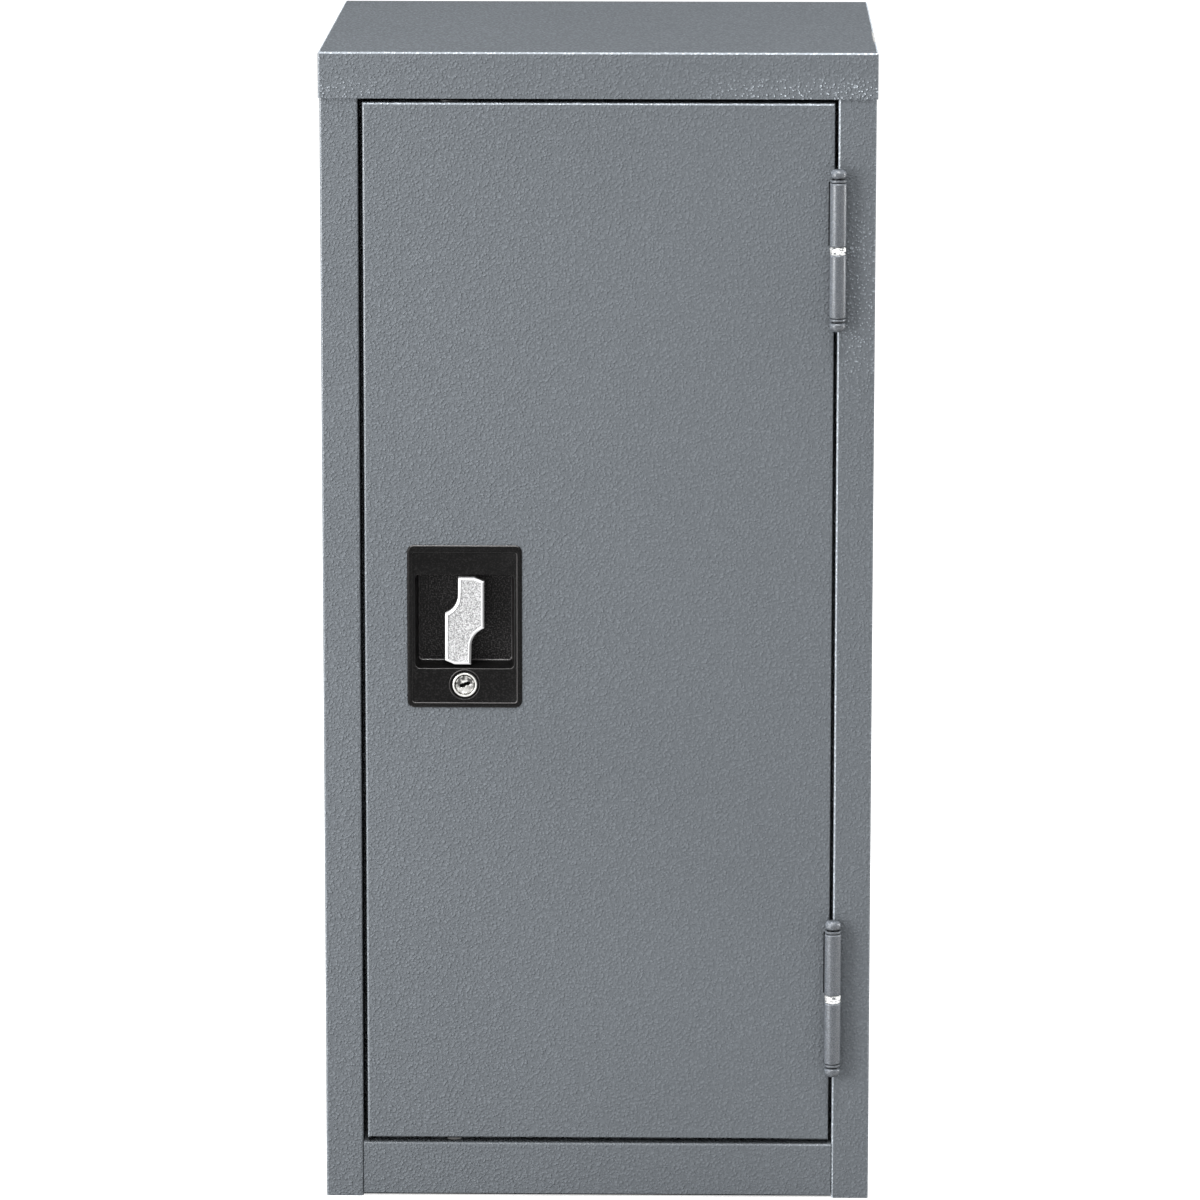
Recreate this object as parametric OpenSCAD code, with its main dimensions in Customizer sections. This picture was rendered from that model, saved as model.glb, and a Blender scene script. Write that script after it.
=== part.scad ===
// Wall-mounted storage cabinet of folded, painted sheet steel, with one hinged door,
// a recessed turn lever, a key lock, two locking rods and two lift-out shelves.
// +X is the viewer's right, -Y is the front, +Z is up. The origin is the centre of the
// four wall holes, on the outer face of the back panel.

/* [Cabinet] */
// Overall width, over the top cap
cab_w = 349.25; // [320:0.25:460]
// Overall depth, from the wall to the front of the top cap
cab_d = 323.85; // [270:0.25:420]
// Overall height
cab_h = 736.6; // [680:0.1:900]
// Thickness of the sheet
sheet_t = 0.9; // [0.7:0.1:1.2]
// Inside radius of a fold
bend_r = 0.7; // [0.4:0.1:1.2]
// Height of the skirt of the top cap
skirt_h = 29; // [26:1:40]
// Height of the front rail under the door
rail_h = 35.5; // [30:1:44]
// Width of each front stile
stile_w = 23.7; // [20:0.1:30]
// Width of the lip that the door closes against
stop_w = 10; // [9.5:0.5:14]
// Width of the rear flange of each side panel
rear_flange_w = 14; // [10:1:20]
// Height by which the side panels stand below the front rail
foot_h = 1; // [0.5:0.5:3]
// Depth of the flange that folds back from a skirt or a rail
fold_back = 20; // [16:1:24]

/* [Wall mounting] */
// Distance between wall holes, side to side
wall_dx = 254; // [200:1:290]
// Distance between wall holes, up and down
wall_dz = 508; // [400:1:600]
// Diameter of a wall hole
wall_hole_d = 8; // [6:0.5:10]

/* [Door] */
// Depth of the door
door_t = 25; // [24.5:0.5:30]
// Gap beside the door on the lock side
gap_lock = 3; // [2:0.1:4]
// Gap beside the door on the hinge side
gap_hinge = 2.2; // [1.5:0.1:2.5]
// Gap above the door
gap_top = 2.7; // [2:0.1:4]
// Gap below the door
gap_bottom = 3; // [2:0.1:4]
// Width of the lip round the back of the door
door_lip = 12; // [8:1:18]
// Width of the stiffener inside the door, flanges included
stiff_w = 64; // [54:1:90]
// Height of the stiffener inside the door
stiff_h = 15; // [10:1:20]
// Distance from the middle of the door to the stiffener
stiff_x = 40; // [30:1:55]
// Diameter of a rubber stop
stop_d = 8.6; // [7:0.2:9]
// Distance from the middle to each rubber stop
stop_z = 240; // [150:5:280]

/* [Hinges] */
// Diameter of a hinge barrel
barrel_d = 10.6; // [10:0.1:12]
// Length of each knuckle
knuckle_h = 40; // [30:1:46]
// Height of the bare washer between the knuckles
washer_h = 5; // [3:0.5:7]
// Diameter of the hinge pin
hinge_pin_d = 5.2; // [4.8:0.1:5.6]
// Height of each hinge tip
tip_h = 8.6; // [7.5:0.1:10]
// Thickness of a hinge leaf
leaf_t = 2; // [1.6:0.1:2.2]
// Depth of a hinge leaf
leaf_w = 18; // [12:1:20]
// Distance from the top of the door to the middle of the upper hinge
hinge_down = 91.5; // [80:0.1:140]
// Distance from the bottom of the door to the middle of the lower hinge
hinge_up = 94.5; // [80:0.1:140]

/* [Handle cup] */
// Width of the cup beside the pocket
cup_side = 5.1; // [3.7:0.05:8]
// Height of the cup above the pocket
cup_ledge = 18.85; // [16:0.05:22]
// Height of the cup below the pocket
cup_panel = 25.3; // [23:0.05:30]
// Distance from the lock edge of the door to the middle of the cup
cup_in = 63; // [58:1:80]
// Corner radius of the cup
cup_r = 2.2; // [1:0.1:3]
// Width of the raised rim of the cup
rim_w = 3.3; // [2:0.1:3.6]
// Height of the rim above the door
rim_h = 1.2; // [0.8:0.1:2]
// Width of the pocket
pocket_w = 62.5; // [58:0.5:63]
// Height of the pocket
pocket_h = 60.5; // [60:0.5:62]
// Depth of the pocket below the face of the door
pocket_d = 16; // [14:0.5:16]
// Corner radius of the pocket
pocket_r = 3; // [1:0.5:5]
// Thickness of the walls of the cup
cup_t = 2; // [1.5:0.1:2]
// Size of a cup screw
cup_screw_d = 3; // [2.5:0.1:3]

/* [Lever] */
// Height of the lever above the middle of the door
lever_up = 4.2; // [0:0.1:10]
// Length of the lever
lever_l = 56; // [50:0.5:58]
// Width of each half of the lever
lever_lobe = 16.6; // [14:0.1:17]
// Sideways step from the middle to each half of the lever
lever_step = 4.1; // [3.5:0.1:4.3]
// Thickness of the lever's plate
lever_t = 6; // [4:0.5:7]
// Radius of the hollow beside each half of the lever
lever_hollow_r = 12.8; // [11:0.1:14]
// Diameter of the boss behind the lever
boss_d = 16; // [14:0.5:17]
// Diameter of the lever's journal in the cup
journal_d = 12.4; // [12.2:0.1:14]
// Size of the square spindle
spindle_s = 7; // [6:0.5:7.5]

/* [Latch] */
// Radius of the crank pins
crank_r = 11; // [10.6:0.1:11.2]
// Diameter of a crank pin
crank_pin_d = 4; // [3:0.5:4]
// Thickness of the latch plate
latch_t = 2; // [1.5:0.1:2]
// Diameter of a locking rod
rod_d = 6; // [5:0.5:7]
// Distance from the lever's axis sideways to the rods
rod_in = 8; // [7.8:0.1:8.6]
// Depth of the middle of a rod behind the face of the door
rod_y = 12.5; // [11.5:0.5:13]
// Length of the slanted step in a rod
joggle_l = 18; // [14:1:30]
// Thickness of a rod's flat end
flat_t = 2.5; // [2:0.1:2.5]
// Diameter of the flange of a rod bush
bush_d = 13.7; // [12.5:0.1:15]
// Distance from the lever's axis to each rod guide
guide_z = 170; // [110:5:200]

/* [Lock] */
// Distance from the pocket down to the lock
lock_drop = 10.5; // [10.5:0.1:11.5]
// Diameter of the collar moulded round the lock
collar_d = 19.4; // [18.5:0.1:20]
// Diameter of the front ring of the lock
ring_d = 15.6; // [15:0.1:16]
// Diameter of the body of the lock
barrel_lock_d = 14; // [13.5:0.1:14.4]
// Diameter of the key plug
plug_d = 12; // [11:0.1:12]
// Length of the keyway
keyway_l = 7.6; // [6:0.1:9]
// Width of the keyway
keyway_w = 1.8; // [1.2:0.1:2.4]
// Slant of the keyway
keyway_a = 11; // [0:1:20]
// Width of the finger of the lock cam
finger_w = 6.4; // [5:0.1:6.4]

/* [Shelves] */
// Depth of the folded edge of a shelf
shelf_edge = 20; // [15:1:30]
// Distance from the back to the rear slotted strip
strip_rear = 60; // [40:5:100]
// Distance from the face of the cabinet to the front slotted strip
strip_front = 61; // [55:1:120]
// Width of the raised part of a strip
strip_w = 14; // [12.5:0.5:20]
// Height of the raised part of a strip
strip_h = 3.4; // [3:0.1:5]
// Width of each flat flange of a strip
strip_flange = 6; // [4:0.5:8]
// Distance between slots
slot_pitch = 25.4; // [20:0.1:30]
// Width of a shelf clip
clip_w = 11; // [8:0.5:12]
// Thickness of a shelf clip
clip_t = 1.5; // [1.2:0.1:2]
// Number of the slot that carries the lower shelf
low_slot = 9; // [7:1:10]
// Number of the slot that carries the upper shelf
high_slot = 18; // [15:1:19]

/* [Hidden] */
$fn = 64;

paint = [0.49, 0.51, 0.54];
zinc = [0.72, 0.73, 0.74];
bright = [0.82, 0.82, 0.83];
black = [0.13, 0.13, 0.14];

// Clearances
seam = 0.3;
run_gap = 0.05;
slide_gap = 0.1;
pin_play = 0.45;
cut = 1;
bend_steps = 5;

// Main planes of the cabinet
top_z = cab_h / 2;
foot_z = -cab_h / 2;
head_z = top_z - skirt_h;
sill_z = foot_z + rail_h;
face_y = -(cab_d - sheet_t);
wall_x = cab_w / 2 - sheet_t;
inner_x = wall_x - sheet_t;
open_x = wall_x - stile_w;
back_in_y = -sheet_t;
flange_in_y = -2 * sheet_t;
fold_out = bend_r + sheet_t;
panel_top_z = top_z - fold_out;

// Door, in its opening
door_x0 = -open_x + gap_lock;
door_x1 = open_x - gap_hinge;
door_z0 = sill_z + gap_bottom;
door_z1 = head_z - gap_top;
door_back_y = face_y + door_t;
stop_gap = 2.6;
stop_y = door_back_y + stop_gap;

// Hinges
barrel_r = barrel_d / 2;
hinge_x = open_x;
hinge_y = face_y - barrel_r - slide_gap;
upper_hinge_z = door_z1 - hinge_down;
lower_hinge_z = door_z0 + hinge_up;
leaf_y1 = face_y + leaf_w;
leaf_slit = 0.8;
hinge_pin_r = hinge_pin_d / 2;

// Handle cup, with depths counted from the face of the door
lever_x = door_x0 + cup_in;
lever_z = (door_z0 + door_z1) / 2 + lever_up;
cup_w = pocket_w + 2 * cup_side;
cup_h = pocket_h + cup_ledge + cup_panel;
cup_z = lever_z - (cup_panel - cup_ledge) / 2;
cup_flange = 2.5;
body_w = pocket_w + 2 * cup_t;
body_h = cup_h - 2 * cup_flange;
floor_y = pocket_d + cup_t;
lock_down = pocket_h / 2 + lock_drop;
lock_z = lever_z - lock_down;
panel_h = 0.4;
rim_ledge = 0.8;
clamp_t = 1.5;
clamp_over = 4;
clamp_y = sheet_t + clamp_t;
screw_dx = cup_w / 2 - 7;
screw_in = cup_flange + 6.5;
screw_head_t = 1.8;
lever_front = 0.5;
lock_boss_y = 8;
nut_t = 3;
nut_over = 5.6;

// Latch, with depths counted from the face of the door
latch_y = floor_y + 0.6;
latch_back = latch_y + latch_t;
flat_y = latch_back + 0.4;
flat_back = flat_y + flat_t;
flat_mid = flat_y + flat_t / 2;
pin_back = flat_back + 0.5;
crank_c = crank_r * cos(45);
rod_travel = 2 * crank_c;
rod_x = lever_x - rod_in;
slot_h = crank_pin_d / 2 + pin_play;
slot_in = crank_c - slot_h;
slot_out = crank_r + slot_h;
flat_wall = 1.6;
flat_out = slot_out + flat_wall;
strip_in = 4.6;
strip_out = rod_in + rod_d / 2 + 2;
cross_top = 13.5;
cross_low = 21;
upper_bend = 38;
lower_bend = 56;
rod_proud = 1.4;
bush_t = 1;
bush_l = 5;
bush_body_d = rod_d + 4;
strike_d = rod_d + 4;
guide_h = 12;
guide_w = rod_d + 10;
guide_over = 2;
tap_d = 3;
screw_d = tap_d - 2 * run_gap;
tooth_top = 3.7;
tooth_low = 8.6;
tooth_in = 5;
tooth_out = 14;
tooth_slant = 1.8;
finger_reach = lock_down - tooth_low - 2.3;
tail_s = 6;
tail_gap = 0.2;
keyway_depth = 11;

// Shelves
strip_x = inner_x - strip_h;
strip_foot = 14;
strip_head = 6;
strip_y = [face_y + strip_front, -strip_rear];
strip_z0 = sill_z + strip_foot;
strip_z1 = head_z - strip_head;
slot_count = floor((strip_z1 - strip_z0 - slot_pitch) / slot_pitch);
clip_neck = 0.5;
slot_w = clip_w - 2 * clip_neck;
slot_over = 1.2;
slot_tall = clip_t + slot_over;
ledge_x = 12;
clip_h = 14;
shelf_side_gap = 0.6;
shelf_front_gap = 3;
shelf_back_gap = 2;
shelf_x = strip_x - clip_t - shelf_side_gap;
shelf_front_y = stop_y + shelf_front_gap;
shelf_back_y = flange_in_y - shelf_back_gap;

// Points of a quarter fold about a corner v, from direction a to direction b
function fillet(v, a, b, r) =
    [for (i = [0:bend_steps]) let (p = 90 * i / bend_steps)
        v + r * (b - a) + r * (sin(p) * a - cos(p) * b)];
function heading(p, q) = (q - p) / norm(q - p);
function left_of(d) = [-d[1], d[0]];
// One face of a folded strip, off to the left of the path by a distance
function fold_face(path, off) = [for (i = [0:len(path) - 1]) each
    i == 0 ? [path[0] + off * left_of(heading(path[0], path[1]))]
    : i == len(path) - 1 ? [path[i] + off * left_of(heading(path[i - 1], path[i]))]
    : let (
        a = heading(path[i - 1], path[i]),
        b = heading(path[i], path[i + 1]),
        left_turn = a[0] * b[1] - a[1] * b[0] > 0,
        r = left_turn == (off > 0) ? bend_r : bend_r + sheet_t)
    fillet(path[i] + off * (left_of(a) + left_of(b)), a, b, r)];
function backwards(v) = [for (i = [len(v) - 1:-1:0]) v[i]];
// Outline of a strip of sheet folded square along a path, its metal to the path's left
function folded(path) = concat(fold_face(path, 0), backwards(fold_face(path, sheet_t)));
function arc(c, r, a0, a1, n) =
    [for (i = [0:n]) let (a = a0 + (a1 - a0) * i / n) c + r * [cos(a), sin(a)]];
function round_rect(p, q, r) = concat(
    arc([q[0] - r, q[1] - r], r, 0, 90, bend_steps),
    arc([p[0] + r, q[1] - r], r, 90, 180, bend_steps),
    arc([p[0] + r, p[1] + r], r, 180, 270, bend_steps),
    arc([q[0] - r, p[1] + r], r, 270, 360, bend_steps));

// Solids between two depths behind the face of the door
module at_depth(d0, d1) {
    translate([0, face_y + d0, 0]) rotate([90, 0, 0]) mirror([0, 0, 1])
        linear_extrude(d1 - d0) children();
}
module round_at(x, z, d, d0, d1) {
    at_depth(d0, d1) translate([x, z]) circle(d = d);
}
// A profile in Y and Z, carried along X between x0 and x1
module along_x(x0, x1) {
    translate([x0, 0, 0]) rotate([90, 0, 90]) linear_extrude(x1 - x0) children();
}
module block(x0, x1, y0, y1, z0, z1) {
    translate([x0, y0, z0]) cube([x1 - x0, y1 - y0, z1 - z0]);
}

// Side panel, left: wall, stile, return and door lip, with a flange behind
module side_panel() {
    path = [
        [-wall_x + rear_flange_w, back_in_y],
        [-wall_x, back_in_y],
        [-wall_x, face_y],
        [-open_x, face_y],
        [-open_x, stop_y],
        [-open_x + stop_w, stop_y]];
    difference() {
        translate([0, 0, foot_z]) linear_extrude(panel_top_z - foot_z) polygon(folded(path));
        block(-open_x, 0, face_y - cut, stop_y + 2 * fold_out, foot_z - cut, sill_z + seam);
    }
}
module left_side_panel() {
    color(paint) side_panel();
}
// Side panel, right: the same, with a slit beside each hinge for its leaf
module right_side_panel() {
    color(paint) difference() {
        mirror([1, 0, 0]) side_panel();
        for (z = [upper_hinge_z, lower_hinge_z])
            block(open_x + sheet_t, open_x + sheet_t + leaf_t + slide_gap,
                face_y - cut, face_y + fold_out,
                z - washer_h / 2 - knuckle_h - slide_gap, z - washer_h / 2 + slide_gap);
    }
}
// Back panel: a flat sheet over the rear flanges, with the four wall holes
module back_panel() {
    color(paint) difference() {
        block(-wall_x, wall_x, back_in_y, 0, foot_z, panel_top_z);
        for (sx = [-1, 1], sz = [-1, 1])
            translate([sx * wall_dx / 2, cut, sz * wall_dz / 2])
                rotate([90, 0, 0]) cylinder(d = wall_hole_d, h = sheet_t + 2 * cut);
    }
}

// A pan with folded edges round its top face, open below and behind
module cap_block(x, y0, z0, z1, r) {
    intersection() {
        translate([0, 0, z0 - cut]) linear_extrude(z1 - z0 + 2 * cut)
            polygon(concat(
                [[x, 0], [-x, 0]],
                arc([-x + r, y0 + r], r, 180, 270, bend_steps),
                arc([x - r, y0 + r], r, 270, 360, bend_steps)));
        rotate([90, 0, 0]) linear_extrude(-y0)
            polygon(concat(
                [[-x, z0], [x, z0]],
                arc([x - r, z1 - r], r, 0, 90, bend_steps),
                arc([-x + r, z1 - r], r, 90, 180, bend_steps)));
        along_x(-x, x)
            polygon(concat(
                [[0, z1]],
                arc([y0 + r, z1 - r], r, 90, 180, bend_steps),
                [[y0, z0], [0, z0]]));
    }
}
// Top cap: top, front apron and side skirts, with the strike flange behind the apron
module top_cap() {
    flange_x = open_x - seam;
    path = [
        [face_y - sheet_t, head_z + skirt_h / 2],
        [face_y - sheet_t, head_z],
        [face_y + fold_back, head_z]];
    color(paint) difference() {
        union() {
            difference() {
                cap_block(cab_w / 2, -cab_d, head_z, top_z, fold_out);
                cap_block(cab_w / 2 - sheet_t, face_y, head_z - cut, top_z - sheet_t, bend_r);
            }
            along_x(-flange_x, flange_x) polygon(folded(path));
        }
        translate([rod_x, face_y + rod_y, head_z - cut])
            cylinder(d = strike_d, h = sheet_t + 2 * cut);
    }
}
// Bottom pan: floor, front rail and the skirts that are welded to the walls
module bottom_pan() {
    pan_y0 = stop_y + sheet_t + seam;
    pan_y1 = flange_in_y - bend_r;
    pan_skirt = 18;
    rail_x = open_x - seam;
    path = [
        [pan_y0 + fold_back, sill_z],
        [face_y, sill_z],
        [face_y, foot_z + foot_h],
        [face_y + fold_back, foot_z + foot_h]];
    color(paint) difference() {
        union() {
            along_x(-rail_x, rail_x) polygon(folded(path));
            difference() {
                block(-inner_x, inner_x, pan_y0, pan_y1, sill_z - pan_skirt, sill_z);
                block(-inner_x + sheet_t, inner_x - sheet_t, pan_y0 - cut,
                    pan_y1 - sheet_t, sill_z - pan_skirt - cut, sill_z - sheet_t);
            }
        }
        translate([rod_x, face_y + rod_y, sill_z - sheet_t - cut])
            cylinder(d = strike_d, h = sheet_t + 2 * cut);
    }
}

// Slotted strip: a raised channel with a row of slots for the shelf clips, on the left wall
module slotted_strip(y) {
    w = strip_w / 2;
    f = w + strip_flange;
    web_x = -strip_x - sheet_t;
    path = [
        [-inner_x, y + f],
        [-inner_x, y + w],
        [web_x, y + w],
        [web_x, y - w],
        [-inner_x, y - w],
        [-inner_x, y - f]];
    difference() {
        translate([0, 0, strip_z0]) linear_extrude(strip_z1 - strip_z0)
            polygon(folded(path));
        for (i = [1:slot_count])
            translate([-strip_x, y, slot_z(i)])
                cube([4 * sheet_t, slot_w + seam, slot_tall + seam], center = true);
    }
}
function slot_z(i) = strip_z0 + i * slot_pitch;
module strip_front_left() {
    color(paint) slotted_strip(strip_y[0]);
}
module strip_rear_left() {
    color(paint) slotted_strip(strip_y[1]);
}
module strip_front_right() {
    color(paint) mirror([1, 0, 0]) slotted_strip(strip_y[0]);
}
module strip_rear_right() {
    color(paint) mirror([1, 0, 0]) slotted_strip(strip_y[1]);
}
// Shelf clip: a tab in the slot, a plate against the strip and a ledge under the shelf
module shelf_clip(y, i) {
    z = slot_z(i) + slot_tall / 2;
    block(-strip_x - 2 * sheet_t, -strip_x, y - slot_w / 2, y + slot_w / 2, z - slot_tall, z);
    block(-strip_x, -strip_x + clip_t, y - clip_w / 2, y + clip_w / 2, z - clip_h, z);
    block(-strip_x, -strip_x + ledge_x, y - clip_w / 2, y + clip_w / 2, z - clip_t, z);
}
module clip_set(i) {
    for (side = [0, 1], y = strip_y)
        mirror([side, 0, 0]) shelf_clip(y, i);
}
module lower_shelf_clips() {
    color(zinc) clip_set(low_slot);
}
module upper_shelf_clips() {
    color(zinc) clip_set(high_slot);
}
// Shelf: a flat tray turned over, folded down and in at the front and the back
module shelf(i) {
    z = slot_z(i) + slot_tall / 2 + sheet_t;
    path = [
        [shelf_back_y - shelf_edge / 2, z - shelf_edge],
        [shelf_back_y, z - shelf_edge],
        [shelf_back_y, z],
        [shelf_front_y, z],
        [shelf_front_y, z - shelf_edge],
        [shelf_front_y + shelf_edge / 2, z - shelf_edge]];
    along_x(-shelf_x, shelf_x) polygon(folded(path));
}
module lower_shelf() {
    color(paint) shelf(low_slot);
}
module upper_shelf() {
    color(paint) shelf(high_slot);
}
// Rubber stops on the lip that the lock side of the door closes against
module door_stops() {
    color(black) for (sz = [-1, 1])
        round_at(-open_x + stop_w / 2, sz * stop_z, stop_d, door_t + seam, door_t + stop_gap);
}

// Door pan: face, four edges and the lip round the back, cut for the cup, rods and leaves
module pan_block(x0, x1, y0, y1, z0, z1, r) {
    intersection() {
        translate([0, 0, z0]) linear_extrude(z1 - z0)
            polygon(concat(
                [[x1, y1], [x0, y1]],
                arc([x0 + r, y0 + r], r, 180, 270, bend_steps),
                arc([x1 - r, y0 + r], r, 270, 360, bend_steps)));
        along_x(x0, x1)
            polygon(concat(
                [[y1, z0], [y1, z1]],
                arc([y0 + r, z1 - r], r, 90, 180, bend_steps),
                arc([y0 + r, z0 + r], r, 180, 270, bend_steps)));
    }
}
module door_pan() {
    t = sheet_t;
    color(paint) difference() {
        pan_block(door_x0, door_x1, face_y, door_back_y, door_z0, door_z1, fold_out);
        pan_block(door_x0 + t, door_x1 - t, face_y + t, door_back_y - t,
            door_z0 + t, door_z1 - t, bend_r);
        block(door_x0 + door_lip, door_x1 - door_lip, door_back_y - 2 * t, door_back_y + cut,
            door_z0 + door_lip, door_z1 - door_lip);
        at_depth(-cut, 2 * t)
            plate(lever_x, cup_z, body_w + slide_gap, body_h + slide_gap, cup_r);
        translate([rod_x, face_y + rod_y, door_z0 - cut])
            cylinder(d = bush_body_d + 2 * slide_gap, h = door_z1 - door_z0 + 2 * cut);
        for (z = [upper_hinge_z, lower_hinge_z])
            block(door_x1 - t - leaf_t - leaf_slit, door_x1 - t, face_y - cut, face_y + fold_out,
                z + washer_h / 2 - slide_gap, z + washer_h / 2 + knuckle_h + slide_gap);
    }
}
// Stiffener: a hat section welded up the inside of the door
module door_stiffener() {
    flange = 12;
    top_w = stiff_w - 2 * flange;
    y0 = face_y + sheet_t;
    path = [
        [stiff_x - stiff_w / 2, y0],
        [stiff_x - top_w / 2, y0],
        [stiff_x - top_w / 2, y0 + stiff_h],
        [stiff_x + top_w / 2, y0 + stiff_h],
        [stiff_x + top_w / 2, y0],
        [stiff_x + stiff_w / 2, y0]];
    color(paint) translate([0, 0, door_z0 + 2 * door_lip])
        linear_extrude(door_z1 - door_z0 - 4 * door_lip) polygon(folded(path));
}

// Hinge halves: a bored knuckle with a flat leaf running back from it
module knuckle(z, leaf_x0) {
    difference() {
        union() {
            translate([hinge_x, hinge_y, z]) cylinder(d = barrel_d, h = knuckle_h);
            block(leaf_x0, leaf_x0 + leaf_t, hinge_y + hinge_pin_r + run_gap + cut / 2, leaf_y1,
                z, z + knuckle_h);
        }
        translate([hinge_x, hinge_y, z - cut])
            cylinder(r = hinge_pin_r + run_gap, h = knuckle_h + 2 * cut);
    }
}
module frame_leaf(z) {
    color(paint) knuckle(z - washer_h / 2 - knuckle_h, open_x + sheet_t);
}
module door_leaf(z) {
    color(paint) knuckle(z + washer_h / 2, door_x1 - sheet_t - leaf_t);
}
// A hinge tip: thin collar, neck and rounded button, turned about the hinge axis
module tip_shape() {
    r = barrel_r - 0.2;
    neck = barrel_r - 1.2;
    collar_z = 0.5;
    collar_h = 1.7;
    button_z = 2.9;
    dome = 2;
    rotate_extrude() polygon(concat(
        [[0, 0], [neck, 0], [neck, collar_z], [r, collar_z], [r, collar_z + collar_h],
            [neck, collar_z + collar_h], [neck, button_z], [r, button_z]],
        arc([r - dome, tip_h - dome], dome, 0, 90, bend_steps),
        [[0, tip_h]]));
}
// Hinge pin: its shank and the tip that closes the top of the barrel
module hinge_pin(z) {
    top = washer_h / 2 + knuckle_h + slide_gap;
    color(paint) translate([hinge_x, hinge_y, z]) {
        translate([0, 0, -washer_h / 2 - knuckle_h])
            cylinder(r = hinge_pin_r, h = top + washer_h / 2 + knuckle_h);
        translate([0, 0, top]) tip_shape();
    }
}
module hinge_tip(z) {
    color(paint) translate([hinge_x, hinge_y, z - washer_h / 2 - knuckle_h])
        mirror([0, 0, 1]) tip_shape();
}
module hinge_washer(z) {
    color(bright) translate([hinge_x, hinge_y, z - washer_h / 2]) difference() {
        cylinder(r = barrel_r - 0.3, h = washer_h - slide_gap);
        translate([0, 0, -cut]) cylinder(r = hinge_pin_r + run_gap, h = washer_h + 2 * cut);
    }
}
module upper_hinge_frame_leaf() { frame_leaf(upper_hinge_z); }
module upper_hinge_door_leaf() { door_leaf(upper_hinge_z); }
module upper_hinge_pin() { hinge_pin(upper_hinge_z); }
module upper_hinge_washer() { hinge_washer(upper_hinge_z); }
module upper_hinge_tip() { hinge_tip(upper_hinge_z); }
module lower_hinge_frame_leaf() { frame_leaf(lower_hinge_z); }
module lower_hinge_door_leaf() { door_leaf(lower_hinge_z); }
module lower_hinge_pin() { hinge_pin(lower_hinge_z); }
module lower_hinge_washer() { hinge_washer(lower_hinge_z); }
module lower_hinge_tip() { hinge_tip(lower_hinge_z); }

// Outline of a rounded rectangle about a centre
module plate(x, z, w, h, r) {
    translate([x, z]) polygon(round_rect([-w / 2, -h / 2], [w / 2, h / 2], r));
}
// Places of the four cup screws
module at_screws() {
    for (sx = [-1, 1])
        for (z = [cup_z + cup_h / 2 - screw_in, cup_z - cup_h / 2 + screw_in])
            translate([lever_x + sx * screw_dx, z]) children();
}
// Handle cup: rim, face plate, open pocket, and a boss and collar for the lock
module handle_cup() {
    collar_h = 1;
    color(black) difference() {
        union() {
            at_depth(-rim_h, 0) difference() {
                plate(lever_x, cup_z, cup_w, cup_h, cup_r);
                plate(lever_x, cup_z, cup_w - 2 * rim_w, cup_h - 2 * (rim_w + rim_ledge), cup_r / 2);
            }
            at_depth(-panel_h, 0) plate(lever_x, cup_z, cup_w, cup_h, cup_r);
            at_depth(0, sheet_t) plate(lever_x, cup_z, body_w, body_h, cup_r);
            at_depth(0, floor_y)
                plate(lever_x, lever_z, pocket_w + 2 * cup_t, pocket_h + 2 * cup_t, pocket_r + cup_t);
            round_at(lever_x, lock_z, collar_d, -collar_h, lock_boss_y);
        }
        at_depth(-rim_h - cut, pocket_d) plate(lever_x, lever_z, pocket_w, pocket_h, pocket_r);
        round_at(lever_x, lever_z, journal_d + 2 * slide_gap, 0, floor_y + cut);
        round_at(lever_x, lock_z, barrel_lock_d, -2 * cut, lock_boss_y + cut);
        round_at(lever_x, lock_z, ring_d + slide_gap, -rim_h - cut, 0);
        at_depth(-panel_h / 2, sheet_t + cut) at_screws() circle(d = cup_screw_d + 2 * run_gap);
    }
}
// Clamp plate behind the door sheet, which draws the cup's flange against the face
module cup_clamp() {
    color(zinc) difference() {
        at_depth(sheet_t, clamp_y) difference() {
            plate(lever_x, cup_z, cup_w + 2 * clamp_over, cup_h + 2 * clamp_over, cup_r);
            plate(lever_x, lever_z, pocket_w + 2 * cup_t + seam, pocket_h + 2 * cup_t + seam,
                pocket_r + cup_t);
        }
        round_at(lever_x, lock_z, collar_d + seam, 0, clamp_y + cut);
        at_depth(0, clamp_y + cut) at_screws() circle(d = cup_screw_d + 2 * run_gap);
    }
}
module cup_screws() {
    color(zinc) {
        at_depth(-panel_h / 2, clamp_y) at_screws() circle(d = cup_screw_d);
        at_depth(clamp_y, clamp_y + screw_head_t) at_screws() circle(d = 2 * cup_screw_d);
    }
}

// Half of the lever's outline, from its top round to its right hollow; turned for the other half
function lever_half() =
    let (
        top = lever_l / 2,
        inner = -lever_step + 0.1,
        chamfer = [6, 2.6],
        hollow_up = 11.5,
        outer = lever_step + lever_lobe / 2,
        hollow_x = lever_lobe / 2 - lever_step + lever_hollow_r,
        hollow_z = -top + hollow_up,
        start = acos((outer - hollow_x) / lever_hollow_r))
    concat(
        [[inner, top], [outer - chamfer[0], top], [outer, top - chamfer[1]]],
        arc([hollow_x, hollow_z], lever_hollow_r, start, 180, bend_steps + 2));
module lever_outline() {
    half = lever_half();
    polygon(concat(half, -half));
}
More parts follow.
